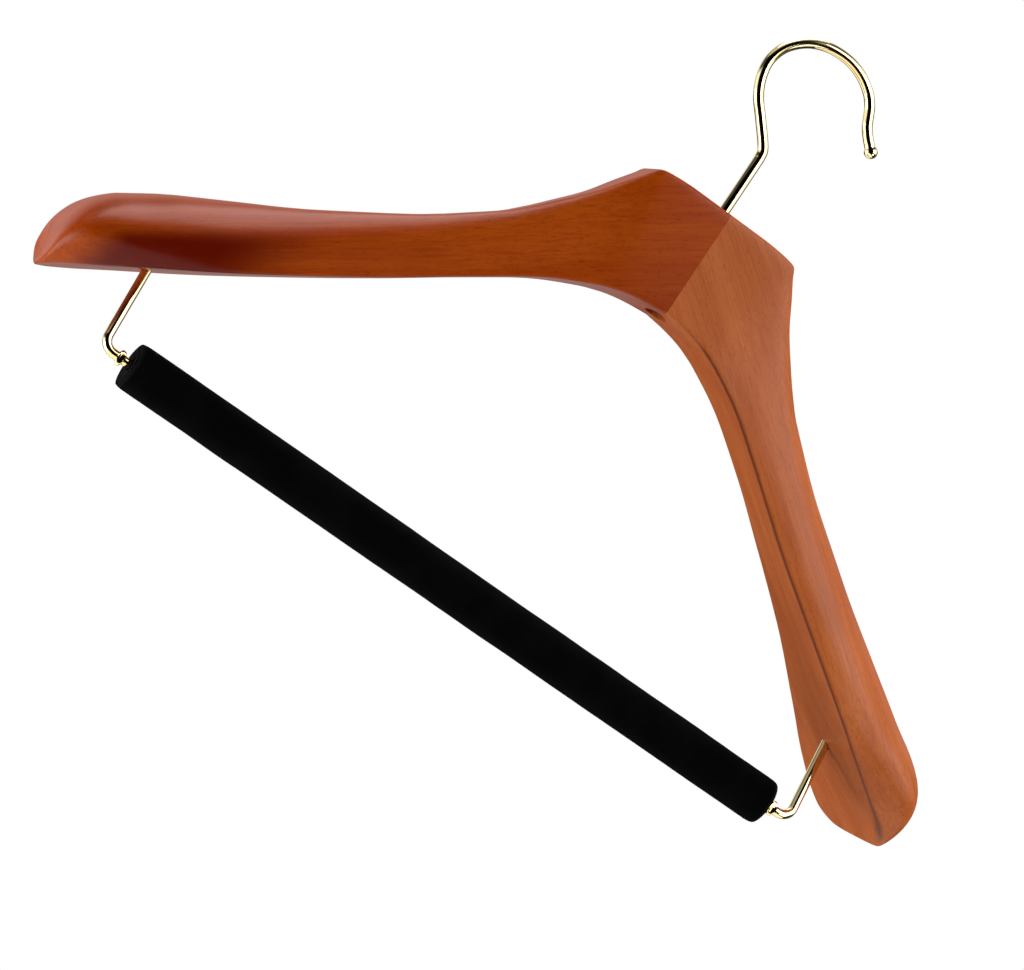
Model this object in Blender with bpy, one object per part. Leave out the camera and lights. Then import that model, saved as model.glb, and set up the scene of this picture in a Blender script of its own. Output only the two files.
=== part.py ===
"""A contoured wooden suit hanger with a swivel hook and a foam-covered trouser bar.

Two carved beech halves meet at a glued seam in the middle of the neck and are held by two
hidden dowels. The hook's wire runs down through the seam to a collar in a counterbore. Two
bent wires hang from the arms and carry the bar on their level pins.

Metres. Z is the hook's stem and points up, X runs along the bar to the hanger's own right,
and Y points away from the convex face of the shoulders. The origin is on the stem's axis, at
the inside of the hook's crown, where the hanger hangs on a rail.
"""

import math

import bmesh
import bpy
import numpy as np

# Overall shape of the wooden body
OVERALL_WIDTH = 0.440
NECK_TOP_WIDTH = 0.0697
NECK_THICKNESS = 0.024
NECK_HEIGHT = 0.048
EDGE_DROP = 0.126
FLARE_DEPTH = 0.0642
SHOULDER_SWEEP = 0.0525
ARM_HEIGHT = 0.0284
UNDERSIDE_TILT = math.radians(4.6)

# Hook
HOOK_WIRE = 0.0045
HOOK_SIZE = 0.024
STEM_HEIGHT = 0.030
BALL_DIAMETER = 0.0058
COUNTERBORE_DIAMETER = 0.010
COUNTERBORE_DEPTH = 0.009
WASHER_DIAMETER = 0.0088
WASHER_THICKNESS = 0.001
COLLAR_DIAMETER = 0.0076
COLLAR_HEIGHT = 0.0045
PEENED_HEAD = 0.0011

# Dowels across the seam
DOWEL_DIAMETER = 0.005
DOWEL_LENGTH = 0.030
DOWEL_OFFSET = 0.0073
UPPER_DOWEL_DROP = 0.013
LOWER_DOWEL_DROP = 0.031
DOWEL_CHAMFER = 0.0008

# Bar wires
BAR_WIRE = 0.004
WIRE_INSET = 0.044
WIRE_LEG = 0.0372
WIRE_LEAN = math.radians(17.5)
WIRE_DEPTH = 0.014
WIRE_BEND = 0.0055
WIRE_PIN = 0.022
STOP_WIDTH = 0.0068
STOP_THICKNESS = 0.0026
STOP_LENGTH = 0.003
STOP_SETBACK = 0.0045

# Trouser bar
BAR_DIAMETER = 0.0202
BAR_END_GAP = 0.0132
CORE_DIAMETER = 0.012
CORE_RECESS = 0.0015
SLEEVE_EDGE = 0.0006

# Fits
GAP = 0.0003
END_PLAY = 0.001
OVERRUN = 0.003

# Fineness of the faceted surfaces
RINGS_PER_STATION = 2
SECTION_STEPS = 20
ROUND_SIDES = 32
BORE_SIDES = 24
WIRE_RESOLUTION = 4
CURVE_STEPS = 4
BEND_STEPS = 8
BALL_STEPS = 6
SMOOTH_ANGLE = math.radians(40)
WELD_SHARE = 0.01

# Where the wires meet the underside, from its front edge to its back edge
WIRE_SEAT_SHARE = 0.48

# How far the underside falls near the tip for each unit of the way along it
END_SLOPE_SHARE = 0.59

# How high the section's curve is cut level at its crest, as a share of its height
CREST_LEVEL_SHARE = 0.997

# One row for each station from the seam to the tip, as shares of the sizes above:
# along and drop place the front lower edge, depth goes from the neck's thickness to the
# flare's depth, sweep is the way back, neck is how far the section still belongs to the
# neck's block, top is the crest's place along the neck's top, height and lead place the
# crest of the arm, lean moves the crest back across the depth, and skew moves the back
# lower edge toward the seam, as a share of the depth
RAIL_SHARES = (
    # along   drop    depth   sweep   neck    top     height  lead    lean    skew
    (0.000, 0.000, 0.000, 0.000, 1.000, 0.000, 1.000, 0.300, 0.000, 0.000),
    (0.045, 0.008, 0.007, 0.003, 1.000, 0.500, 1.000, 0.300, 0.000, 0.000),
    (0.085, 0.021, 0.012, 0.008, 0.961, 0.900, 1.000, 0.300, 0.000, 0.000),
    (0.111, 0.035, 0.017, 0.016, 0.915, 1.020, 1.000, 0.300, 0.000, 0.000),
    (0.129, 0.046, 0.019, 0.023, 0.800, 1.000, 1.000, 0.580, 0.010, 0.000),
    (0.152, 0.064, 0.017, 0.033, 0.604, 1.000, 1.000, 0.640, 0.030, 0.000),
    (0.187, 0.093, 0.009, 0.047, 0.361, 1.000, 1.000, 0.468, 0.060, 0.000),
    (0.224, 0.128, 0.000, 0.061, 0.167, 1.000, 1.000, 0.366, 0.090, 0.000),
    (0.335, 0.259, -0.017, 0.102, 0.000, 1.000, 0.965, 0.170, 0.135, 0.000),
    (0.447, 0.397, 0.049, 0.166, 0.000, 1.000, 0.882, 0.235, 0.110, 0.000),
    (0.581, 0.553, 0.252, 0.264, 0.000, 1.000, 0.875, 0.300, 0.100, 0.000),
    (0.714, 0.701, 0.610, 0.448, 0.000, 1.000, 0.941, 0.325, 0.080, 0.000),
    (0.826, 0.817, 0.884, 0.705, 0.000, 1.000, 0.995, 0.292, 0.000, 0.000),
    (0.889, 0.881, 0.983, 0.856, 0.000, 1.000, 0.990, 0.270, -0.045, 0.000),
    (0.930, 0.921, 1.000, 0.935, 0.000, 1.000, 0.895, 0.262, -0.085, 0.000),
    (0.959, 0.951, 0.935, 0.983, 0.000, 1.000, 0.728, 0.225, -0.110, 0.040),
    (0.976, 0.973, 0.836, 1.000, 0.000, 1.000, 0.512, 0.110, -0.125, 0.100),
    (0.988, 0.988, 0.690, 0.998, 0.000, 1.000, 0.298, 0.000, -0.110, 0.150),
    (0.994, 1.000, 0.490, 0.980, 0.000, 1.000, 0.140, -0.070, -0.075, 0.190),
)

# The section at the same stations: how square its front and back shoulders are, as powers,
# how far its front and back faces swell past the lower edges, as shares of its depth, and
# how far it swells toward the tip, as a share of the arm's height
SECTION_SHARES = (
    # front   back    front   back    end
    (30.0, 30.0, 0.000, 0.000, 0.000),
    (30.0, 30.0, 0.000, 0.000, 0.000),
    (30.0, 30.0, 0.000, 0.000, 0.000),
    (30.0, 30.0, 0.000, 0.000, 0.000),
    (24.0, 24.0, 0.000, 0.000, 0.000),
    (18.0, 18.0, 0.000, 0.000, 0.000),
    (13.0, 13.0, 0.005, 0.004, 0.000),
    (8.0, 10.0, 0.020, 0.017, 0.000),
    (4.6, 7.0, 0.050, 0.034, 0.000),
    (3.1, 5.5, 0.065, 0.046, 0.000),
    (2.4, 4.5, 0.072, 0.045, 0.000),
    (2.2, 3.7, 0.087, 0.042, 0.000),
    (2.2, 3.2, 0.110, 0.045, 0.000),
    (2.4, 3.0, 0.145, 0.050, 0.020),
    (2.5, 3.0, 0.165, 0.050, 0.090),
    (2.5, 2.9, 0.165, 0.045, 0.080),
    (2.4, 2.7, 0.150, 0.038, 0.015),
    (2.3, 2.4, 0.120, 0.026, 0.000),
    (2.2, 2.2, 0.068, 0.010, 0.000),
)

# The hook's centre line past its bend, as shares of the hook's size from the bend
HOOK_SHARES = (
    (-0.055, 0.070),
    (-0.380, 0.450),
    (-0.617, 0.720),
    (-0.763, 1.010),
    (-0.810, 1.342),
    (-0.695, 1.675),
    (-0.420, 1.955),
    (-0.070, 2.110),
    (0.320, 2.147),
    (0.665, 2.070),
    (0.945, 1.910),
    (1.105, 1.742),
    (1.185, 1.600),
    (1.272, 1.433),
    (1.395, 1.285),
    (1.524, 1.165),
)
HOOK_SEAT_SHARE = 2.117
STEM_EASE_SHARE = 0.12
PEENED_SHARE = 0.86
BALL_TIP_SHARE = 0.12

# Where the pinched stop's rings sit, as shares of half its length, and where it is widest
STOP_RING_SHARES = (-1.0, -0.45, 0.45, 1.0)
STOP_CREST_SHARE = 0.5

# Places that follow from the sizes
HALF_WIDTH = OVERALL_WIDTH / 2
HOOK_RADIUS = HOOK_WIRE / 2
WIRE_RADIUS = BAR_WIRE / 2
NECK_TOP = -(STEM_HEIGHT + HOOK_SIZE * HOOK_SEAT_SHARE - HOOK_RADIUS)
WIRE_X = HALF_WIDTH - WIRE_INSET
BAR_HALF = WIRE_X - BAR_END_GAP


def clear_scene():
    for old in list(bpy.data.objects):
        bpy.data.objects.remove(old, do_unlink=True)


def material(name, colour, roughness, metallic=0.0):
    made = bpy.data.materials.new(name)
    made.use_nodes = True
    shader = made.node_tree.nodes["Principled BSDF"]
    shader.inputs["Base Color"].default_value = (*colour, 1.0)
    shader.inputs["Roughness"].default_value = roughness
    shader.inputs["Metallic"].default_value = metallic
    return made


def add_object(name, mesh, finish=None):
    made = bpy.data.objects.new(name, mesh)
    bpy.context.scene.collection.objects.link(made)
    if finish:
        mesh.materials.append(finish)
    mesh.shade_smooth()
    mesh.set_sharp_from_angle(angle=SMOOTH_ANGLE)
    return made


def mesh_from(name, shape):
    bmesh.ops.recalc_face_normals(shape, faces=shape.faces)
    mesh = bpy.data.meshes.new(name)
    shape.to_mesh(mesh)
    shape.free()
    return mesh


def along_curve(rows, slopes, per_row):
    """Rows between the given ones on a smooth curve with the given slopes."""
    made = []
    for index in range(len(rows) - 1):
        for part in range(per_row):
            t = part / per_row
            first = rows[index] * (1 + 2 * t) * (1 - t) ** 2
            second = rows[index + 1] * t * t * (3 - 2 * t)
            turn = slopes[index] * t * (1 - t) ** 2 - slopes[index + 1] * t * t * (1 - t)
            made.append(first + second + turn)
    made.append(rows[-1])
    return np.array(made)


def steady_slopes(rows):
    """Slopes at the given rows that keep a curve from swinging past them."""
    steps = np.diff(rows, axis=0)
    slopes = np.zeros_like(rows)
    before = steps[:-1]
    after = steps[1:]
    same_way = before * after > 0
    total = np.where(same_way, before + after, 1.0)
    slopes[1:-1] = np.where(same_way, 2 * before * after / total, 0.0)
    slopes[0] = steps[0]
    slopes[-1] = steps[-1]
    return slopes


def lower_edge(row):
    """Front end, back end and middle of the flat underside at one station."""
    along, drop, depth_share, sweep = row[:4]
    skew = row[9]
    depth = NECK_THICKNESS + (FLARE_DEPTH - NECK_THICKNESS) * depth_share
    fall = depth * math.tan(UNDERSIDE_TILT)
    x = HALF_WIDTH * along
    y = SHOULDER_SWEEP * sweep
    z = NECK_TOP - NECK_HEIGHT - EDGE_DROP * drop
    front = np.array((x, y - depth / 2, z))
    slip = depth * skew
    back = np.array((x - slip, y + depth / 2, z - fall + slip * END_SLOPE_SHARE))
    return front, back, depth


def crest(row):
    """The top of the section at one station."""
    neck, top, height, lead, lean = row[4:9]
    front, back, depth = lower_edge(row)
    arm_x = (front[0] + back[0]) / 2 + ARM_HEIGHT * lead
    arm_z = front[2] - NECK_TOP + ARM_HEIGHT * height
    x = neck * top * NECK_TOP_WIDTH / 2 + (1 - neck) * arm_x
    y = (front[1] + back[1]) / 2 + depth * lean
    z = NECK_TOP + (1 - neck) * arm_z
    return np.array((x, y, z))


def section(row):
    """One closed ring of the arm: over the top from the front edge to the back edge."""
    front, back, depth = lower_edge(row)
    top = crest(row)
    neck = row[4]
    front_square, back_square, front_swell, back_swell, end_swell = row[10:15]
    middle = (front + back) / 2
    across = (back - front) / 2
    way_back = across / np.linalg.norm(across)
    way_out = np.array((1.0, 0.0, 0.0))
    ring = []
    for step in range(SECTION_STEPS + 1):
        angle = math.pi * step / SECTION_STEPS
        cosine = math.cos(angle)
        in_front = cosine > 0
        square = front_square if in_front else back_square
        swell = -front_swell if in_front else back_swell
        sine = math.sin(angle) if step < SECTION_STEPS else 0.0
        rise = min(sine ** (2 / square) / CREST_LEVEL_SHARE, 1.0)
        reach = -math.copysign(abs(cosine) ** (2 / square), cosine)
        belly = 4 * rise * (1 - rise)
        bow = belly * (way_back * swell * depth + way_out * end_swell * ARM_HEIGHT)
        level = np.array((1.0, 1.0, 1.0 - neck * rise))
        ring.append(middle + across * reach * level + bow + (top - middle) * rise)
    return ring


def arm_rows():
    rows = np.hstack((RAIL_SHARES, SECTION_SHARES))
    return along_curve(rows, steady_slopes(rows), RINGS_PER_STATION)


def arm_mesh(name, side):
    """One half of the body: side is 1 for the hanger's right arm and -1 for its left."""
    shape = bmesh.new()
    rings = []
    for row in arm_rows():
        ring = section(row)
        if not rings:
            for point in ring:
                point[0] = GAP / 2
        rings.append([shape.verts.new((side * p[0], p[1], p[2])) for p in ring])
    for near, far in zip(rings, rings[1:]):
        for index in range(len(near)):
            after = (index + 1) % len(near)
            shape.faces.new((near[index], far[index], far[after], near[after]))
    shape.faces.new(rings[0])
    shape.faces.new(rings[-1])
    return mesh_from(name, shape)


def wire_seat():
    """Where a bar wire's axis meets the right arm's underside."""
    rows = arm_rows()
    ends = [lower_edge(row)[:2] for row in rows]
    across = [front + (back - front) * WIRE_SEAT_SHARE for front, back in ends]
    for near, far in zip(across, across[1:]):
        if near[0] <= WIRE_X <= far[0]:
            share = (WIRE_X - near[0]) / (far[0] - near[0])
            return near + (far - near) * share
    return across[-1]


def turned_mesh(name, profile, sides, axis="Z", bored=False):
    """A turned solid: profile is a list of (radius, height), closed on itself if bored."""
    shape = bmesh.new()
    rings = []
    for radius, height in profile:
        ring = []
        for step in range(sides):
            angle = math.tau * step / sides
            u = radius * math.cos(angle)
            v = radius * math.sin(angle)
            place = (u, v, height) if axis == "Z" else (height, u, v)
            ring.append(shape.verts.new(place))
        rings.append(ring)
    onward = rings[1:] + rings[:1] if bored else rings[1:]
    for near, far in zip(rings, onward):
        for index in range(sides):
            after = (index + 1) % sides
            shape.faces.new((near[index], near[after], far[after], far[index]))
    if not bored:
        shape.faces.new(rings[0])
        shape.faces.new(rings[-1])
    return mesh_from(name, shape)


def rod_mesh(name, radius, near, far, sides, axis="Z"):
    """A straight round rod from near to far along its axis."""
    return turned_mesh(name, ((radius, near), (radius, far)), sides, axis)


def ring_mesh(name, outer, inner, foot, top):
    """A flat-faced ring round the hook's wire."""
    profile = ((outer, top), (outer, foot), (inner, foot), (inner, top))
    return turned_mesh(name, profile, BORE_SIDES, bored=True)


def wire_mesh(name, points, radius, scales=None):
    """A round wire along points, made a mesh from a bevelled curve."""
    curve = bpy.data.curves.new(name + "_line", "CURVE")
    curve.dimensions = "3D"
    curve.bevel_depth = radius
    curve.bevel_resolution = WIRE_RESOLUTION
    curve.use_fill_caps = True
    spline = curve.splines.new("POLY")
    spline.points.add(len(points) - 1)
    for index, point in enumerate(points):
        spline.points[index].co = (*point, 1.0)
        spline.points[index].radius = scales[index] if scales else 1.0
    guide = bpy.data.objects.new(name + "_line", curve)
    bpy.context.scene.collection.objects.link(guide)
    shape = bmesh.new()
    shape.from_mesh(bpy.data.meshes.new_from_object(guide))
    bmesh.ops.remove_doubles(shape, verts=shape.verts, dist=radius * WELD_SHARE)
    bpy.data.objects.remove(guide, do_unlink=True)
    return mesh_from(name, shape)


def cutter(name, mesh):
    made = add_object(name, mesh)
    made.hide_render = True
    made.display_type = "WIRE"
    return made


def cut(target, tool):
    boolean = target.modifiers.new(tool.name, "BOOLEAN")
    boolean.operation = "DIFFERENCE"
    boolean.solver = "EXACT"
    boolean.object = tool


def hook_points():
    """The hook's centre line above the wood, from the neck's top to its ball."""
    bend_z = NECK_TOP + STEM_HEIGHT
    ease = STEM_EASE_SHARE * HOOK_SIZE
    rows = [(0.0, bend_z - ease)]
    rows += [(HOOK_SIZE * x, bend_z + HOOK_SIZE * z) for x, z in HOOK_SHARES]
    rows = np.array(rows)
    curve = along_curve(rows, np.gradient(rows, axis=0), CURVE_STEPS)
    return [(x, 0.0, z) for x, z in curve]


def counterbore_floor():
    """Height of the shelf that the washer bears on."""
    middle_fall = NECK_THICKNESS / 2 * math.tan(UNDERSIDE_TILT)
    return NECK_TOP - NECK_HEIGHT - middle_fall + COUNTERBORE_DEPTH


def make_arms(wood_left, wood_right):
    arms = [
        add_object("left_arm", arm_mesh("left_arm", -1), wood_left),
        add_object("right_arm", arm_mesh("right_arm", 1), wood_right),
    ]
    below = NECK_TOP - NECK_HEIGHT - NECK_THICKNESS
    above = NECK_TOP + OVERRUN
    bore = rod_mesh("hook_bore", HOOK_RADIUS + GAP, below, above, BORE_SIDES)
    floor = counterbore_floor()
    sink = rod_mesh("hook_sink", COUNTERBORE_DIAMETER / 2, below, floor, BORE_SIDES)
    tools = [cutter("cut_hook_bore", bore), cutter("cut_hook_sink", sink)]
    reach = DOWEL_LENGTH / 2 + END_PLAY
    for name, y, z in dowel_places():
        hole = rod_mesh(name + "_hole", DOWEL_DIAMETER / 2 + GAP, -reach, reach, BORE_SIDES, "X")
        tool = cutter("cut_" + name, hole)
        tool.location = (0.0, y, z)
        tools.append(tool)
    for arm in arms:
        for tool in tools:
            cut(arm, tool)
    seat = wire_seat()
    for arm, side in zip(arms, (-1, 1)):
        depth = WIRE_DEPTH + END_PLAY
        hole = rod_mesh("wire_hole", WIRE_RADIUS + GAP, -OVERRUN, depth, BORE_SIDES)
        tool = cutter("cut_wire_" + arm.name, hole)
        tool.location = (side * seat[0], seat[1], seat[2])
        tool.rotation_euler = (-WIRE_LEAN, 0.0, 0.0)
        cut(arm, tool)


def dowel_places():
    return (
        ("upper_dowel", -DOWEL_OFFSET, NECK_TOP - UPPER_DOWEL_DROP),
        ("lower_dowel", DOWEL_OFFSET, NECK_TOP - LOWER_DOWEL_DROP),
    )


def make_dowels(finish):
    half = DOWEL_LENGTH / 2
    radius = DOWEL_DIAMETER / 2
    profile = (
        (radius - DOWEL_CHAMFER, -half),
        (radius, DOWEL_CHAMFER - half),
        (radius, half - DOWEL_CHAMFER),
        (radius - DOWEL_CHAMFER, half),
    )
    for name, y, z in dowel_places():
        made = add_object(name, turned_mesh(name, profile, BORE_SIDES, "X"), finish)
        made.location = (0.0, y, z)


def ball_rings(end, way):
    """Centres and radii of the ball's rings, past the wire's end in the given direction."""
    radius = BALL_DIAMETER / 2
    neck_angle = math.asin(HOOK_RADIUS / radius)
    rings = []
    for step in range(BALL_STEPS + 1):
        angle = neck_angle + (math.pi - neck_angle) * step / BALL_STEPS
        centre = end + way * radius * (math.cos(neck_angle) - math.cos(angle))
        rings.append((tuple(centre), radius * max(math.sin(angle), BALL_TIP_SHARE)))
    return rings


def make_hook(brass, steel):
    washer_top = counterbore_floor() - GAP
    washer_foot = washer_top - WASHER_THICKNESS
    collar_top = washer_foot - GAP
    collar_foot = collar_top - COLLAR_HEIGHT
    head_top = collar_foot - GAP
    head_foot = head_top - PEENED_HEAD
    head_scale = COLLAR_DIAMETER / HOOK_WIRE * PEENED_SHARE
    points = [(0.0, 0.0, z) for z in (head_foot, head_top, collar_foot, NECK_TOP)]
    scales = [head_scale, head_scale, 1.0, 1.0]
    line = hook_points()
    points += line[:-1]
    scales += [1.0] * (len(line) - 1)
    end = np.array(line[-1])
    way = end - np.array(line[-2])
    for centre, radius in ball_rings(end, way / np.linalg.norm(way)):
        points.append(centre)
        scales.append(radius / HOOK_RADIUS)
    add_object("hook", wire_mesh("hook", points, HOOK_RADIUS, scales), brass)
    hole = HOOK_RADIUS + GAP
    washer = ring_mesh("hook_washer", WASHER_DIAMETER / 2, hole, washer_foot, washer_top)
    add_object("hook_washer", washer, steel)
    collar = ring_mesh("hook_collar", COLLAR_DIAMETER / 2, hole, collar_foot, collar_top)
    add_object("hook_collar", collar, steel)


def bar_axis():
    """Y and Z of the trouser bar's axis."""
    seat = wire_seat()
    y = seat[1] - WIRE_LEG * math.sin(WIRE_LEAN)
    z = seat[2] - WIRE_LEG * math.cos(WIRE_LEAN)
    return y, z


def make_bar_wires(brass):
    """Each wire: out of the arm, down its leg, round a bend and level into the bar."""
    seat = wire_seat()
    bar_y, bar_z = bar_axis()
    up = np.array((0.0, math.sin(WIRE_LEAN), math.cos(WIRE_LEAN)))
    inward = np.array((-1.0, 0.0, 0.0))
    corner = np.array((WIRE_X, bar_y, bar_z))
    centre = corner + (up + inward) * WIRE_BEND
    points = [seat + up * WIRE_DEPTH, seat]
    for step in range(BEND_STEPS + 1):
        angle = math.pi / 2 * step / BEND_STEPS
        spoke = inward * math.cos(angle) + up * math.sin(angle)
        points.append(centre - spoke * WIRE_BEND)
    stop_x = BAR_HALF + STOP_SETBACK
    half_stop = STOP_LENGTH / 2
    for share in STOP_RING_SHARES:
        points.append(np.array((stop_x - half_stop * share, bar_y, bar_z)))
    points.append(np.array((BAR_HALF - WIRE_PIN, bar_y, bar_z)))
    for name, side in (("left_bar_wire", -1), ("right_bar_wire", 1)):
        path = [(side * p[0], p[1], p[2]) for p in points]
        mesh = wire_mesh(name, path, WIRE_RADIUS)
        pinch(mesh, side * stop_x, bar_y, bar_z, half_stop)
        add_object(name, mesh, brass)


def pinch(mesh, stop_x, bar_y, bar_z, half_stop):
    """Press the wire flat over a short stretch, so two ears stand out above and below."""
    for vertex in mesh.vertices:
        if abs(vertex.co.x - stop_x) < half_stop * STOP_CREST_SHARE:
            vertex.co.y = bar_y + (vertex.co.y - bar_y) * STOP_THICKNESS / BAR_WIRE
            vertex.co.z = bar_z + (vertex.co.z - bar_z) * STOP_WIDTH / BAR_WIRE


def make_bar(wood, foam):
    bar_y, bar_z = bar_axis()
    core_radius = CORE_DIAMETER / 2
    core_half = BAR_HALF - CORE_RECESS
    stock = rod_mesh("bar_core", core_radius, -core_half, core_half, ROUND_SIDES, "X")
    core = add_object("bar_core", stock, wood)
    for name, side in (("left", -1), ("right", 1)):
        deep = side * (BAR_HALF - WIRE_PIN - END_PLAY)
        mouth = side * (BAR_HALF + OVERRUN)
        bore = rod_mesh("pin_bore", WIRE_RADIUS + GAP, deep, mouth, BORE_SIDES, "X")
        tool = cutter("cut_pin_" + name, bore)
        tool.location = (0.0, bar_y, bar_z)
        cut(core, tool)
    core.location = (0.0, bar_y, bar_z)
    outer = BAR_DIAMETER / 2
    inner = core_radius + GAP
    profile = (
        (outer - SLEEVE_EDGE, -BAR_HALF),
        (outer, SLEEVE_EDGE - BAR_HALF),
        (outer, BAR_HALF - SLEEVE_EDGE),
        (outer - SLEEVE_EDGE, BAR_HALF),
        (inner, BAR_HALF),
        (inner, -BAR_HALF),
    )
    tube = turned_mesh("bar_sleeve", profile, ROUND_SIDES, "X", bored=True)
    sleeve = add_object("bar_sleeve", tube, foam)
    sleeve.location = (0.0, bar_y, bar_z)


def main():
    clear_scene()
    wood_left = material("stained_beech_left", (0.42, 0.11, 0.03), 0.35)
    wood_right = material("stained_beech_right", (0.50, 0.15, 0.055), 0.35)
    dowel_wood = material("dowel_beech", (0.62, 0.42, 0.24), 0.7)
    brass = material("polished_brass", (0.78, 0.58, 0.24), 0.15, 1.0)
    steel = material("zinc_plated_steel", (0.60, 0.60, 0.58), 0.35, 1.0)
    foam = material("black_foam", (0.006, 0.006, 0.006), 0.9)
    make_arms(wood_left, wood_right)
    make_dowels(dowel_wood)
    make_hook(brass, steel)
    make_bar_wires(brass)
    make_bar(dowel_wood, foam)


main()
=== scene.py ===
"""The looks of a wooden suit hanger: carved beech, polished brass and black foam.

The two arms, the hook, the bar wires and the foam are modelled again here, finer than the
frame's solids and in the same places. Only the arms' ends differ a little from the frame's:
the left one is a few millimetres shorter, the right one a few longer, and both are rounder.
The washer, collar, dowels and core stay as they are and get their finish. Metres, in the
frame's own axes.
"""

import math

import bpy
import numpy as np
from mathutils import Matrix, Vector, noise


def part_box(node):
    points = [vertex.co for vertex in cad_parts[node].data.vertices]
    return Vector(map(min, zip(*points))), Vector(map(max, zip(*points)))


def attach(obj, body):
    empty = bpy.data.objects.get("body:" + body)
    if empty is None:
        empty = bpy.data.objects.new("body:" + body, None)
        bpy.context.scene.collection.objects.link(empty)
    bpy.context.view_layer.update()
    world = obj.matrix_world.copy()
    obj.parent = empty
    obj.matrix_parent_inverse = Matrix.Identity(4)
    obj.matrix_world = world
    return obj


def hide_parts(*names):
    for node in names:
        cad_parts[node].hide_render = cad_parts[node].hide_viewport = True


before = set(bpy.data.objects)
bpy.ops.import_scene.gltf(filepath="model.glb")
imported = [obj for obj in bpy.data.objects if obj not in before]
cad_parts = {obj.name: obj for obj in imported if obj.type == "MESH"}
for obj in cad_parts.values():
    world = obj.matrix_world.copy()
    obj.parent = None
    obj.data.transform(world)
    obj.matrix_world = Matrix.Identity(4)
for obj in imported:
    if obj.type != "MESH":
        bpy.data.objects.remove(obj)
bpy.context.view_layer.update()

MM = 0.001

# Overall shape of the wooden body
OVERALL_WIDTH = 440 * MM
NECK_TOP_WIDTH = 69.7 * MM
NECK_THICKNESS = 24 * MM
NECK_HEIGHT = 48 * MM
EDGE_DROP = 126 * MM
FLARE_DEPTH = 64.2 * MM
SHOULDER_SWEEP = 52.5 * MM
ARM_HEIGHT = 28.4 * MM
UNDERSIDE_TILT = math.radians(4.6)
HALF_WIDTH = OVERALL_WIDTH / 2

# Hook
HOOK_WIRE = 4.5 * MM
HOOK_SIZE = 24 * MM
STEM_HEIGHT = 30 * MM
BALL_DIAMETER = 5.8 * MM
COUNTERBORE_DIAMETER = 10 * MM
COUNTERBORE_DEPTH = 9 * MM
# The wire's peened foot: its thickness, its width as a share of the collar's, and how much
# of that is left at its lower rim
HEAD_THICKNESS = 0.3 * MM
HEAD_SHARE = 0.86
HEAD_RIM_SHARE = 0.9
# How thin the ball's last ring gets, as a share of the ball
BALL_TIP_SHARE = 0.02

# Bar wires and trouser bar
BAR_WIRE = 4 * MM
WIRE_INSET = 44 * MM
WIRE_LEG = 37.2 * MM
WIRE_LEAN = math.radians(17.5)
WIRE_DEPTH = 14 * MM
WIRE_BEND = 5.5 * MM
WIRE_PIN = 22 * MM
STOP_WIDTH = 6.8 * MM
STOP_THICKNESS = 2.6 * MM
STOP_LENGTH = 3 * MM
STOP_SETBACK = 4.5 * MM
# How flat the pinched stop's middle is, as a power
STOP_FLATNESS = 2.5
BAR_END_GAP = 13.2 * MM
CORE_DIAMETER = 12 * MM

# The play in the bores, how far each half stays from the seam's plane, how near two points
# are the same one, and how near the foam's surface a point belongs to it
GAP = 0.3 * MM
SEAM_CLEAR = 0.01 * MM
SAME_PLACE = 0.01 * MM
NEAR_SKIN = 0.1 * MM

# The foam: how much closer its rings lie at its ends, as a power, its swells as pairs of
# length and depth, its ends' tears with a place in the noise before those, and how much of
# them is left at the core. Then how far the rims are worn and the ends are cut back, the
# length that shows as cut, and the radius to which the ends close over the core
FOAM_RIM = 0.5 * MM
FOAM_RING_CURVE = 1.8
FOAM_SWELLS = ((22 * MM, 0.16 * MM), (3 * MM, 0.05 * MM))
FOAM_TEARS = ((5.0, 1.6 * MM, 0.55 * MM), (9.0, 4.5 * MM, 0.5 * MM))
CORE_TEAR_SHARE = 0.4
RIM_WORN_LENGTH = 1.2 * MM
RIM_WORN_DEPTH = 0.55 * MM
END_CUT_BACK = 0.35 * MM
CUT_LENGTH = 1.2 * MM
LIP_RADIUS = 2.8 * MM

# Painted shade: a dark red patch low on the front toward the tip. The front lower edge lies
# where the height plus EDGE_FALL times the distance from the seam is EDGE_LEVEL. The shaded
# patch grows and fades at these distances from the seam, and its top and its foot fade at
# these heights above that edge
EDGE_FALL = 0.631
EDGE_LEVEL = -114.6 * MM
LOW_SHADE_GROWS = (122 * MM, 165 * MM)
LOW_SHADE_FADES = (193 * MM, 210 * MM)
LOW_SHADE_TOP = (12 * MM, 22 * MM)
LOW_SHADE_FOOT = (-2.5 * MM, -0.8 * MM)
LOW_FRONT_SHADE = "#580A00"

# A painted shade line along the front ridge, dark where the front turns under. It grows and
# fades at these shares of the way through the arm's rings
RIDGE_SHADE = "#541C02"
RIDGE_SHADE_SHARES = (0.02, 0.15, 0.80, 0.97)

# Rounding of the wood: of its ridges, of the ends' rims, how far short of the middle the
# tip's last ring stays, in rings, and over which shares of the half width the back ridge
# gets rounder
RIDGE_ROUND = 1.3 * MM
TIP_ROUND = 1.0 * MM
TIP_SHORT = 0.3
BACK_ROUND_SHARES = (0.80, 0.93)

# Sanding: how many turns it takes, and over which shares of the half width it grows and
# fades. The ridges get RIDGE_HOLD of it, and over TIP_LOOSE_SHARES that grows to all of it.
# EASE_SPOTS points away from a ridge nothing is held back, and each turn takes off one part
# in EASE_STEP of what a point stands out from those beside it
NECK_EASE_SHARES = (0.05, 0.13, 0.15, 0.24)
TIP_EASE_SHARES = (0.89, 0.98)
TIP_LOOSE_SHARES = (0.900, 0.990)
NECK_EASE_TURNS = 60
TIP_EASE_TURNS = 70
RIDGE_HOLD = 0.3
EASE_SPOTS = 10
EASE_STEP = 8

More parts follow.
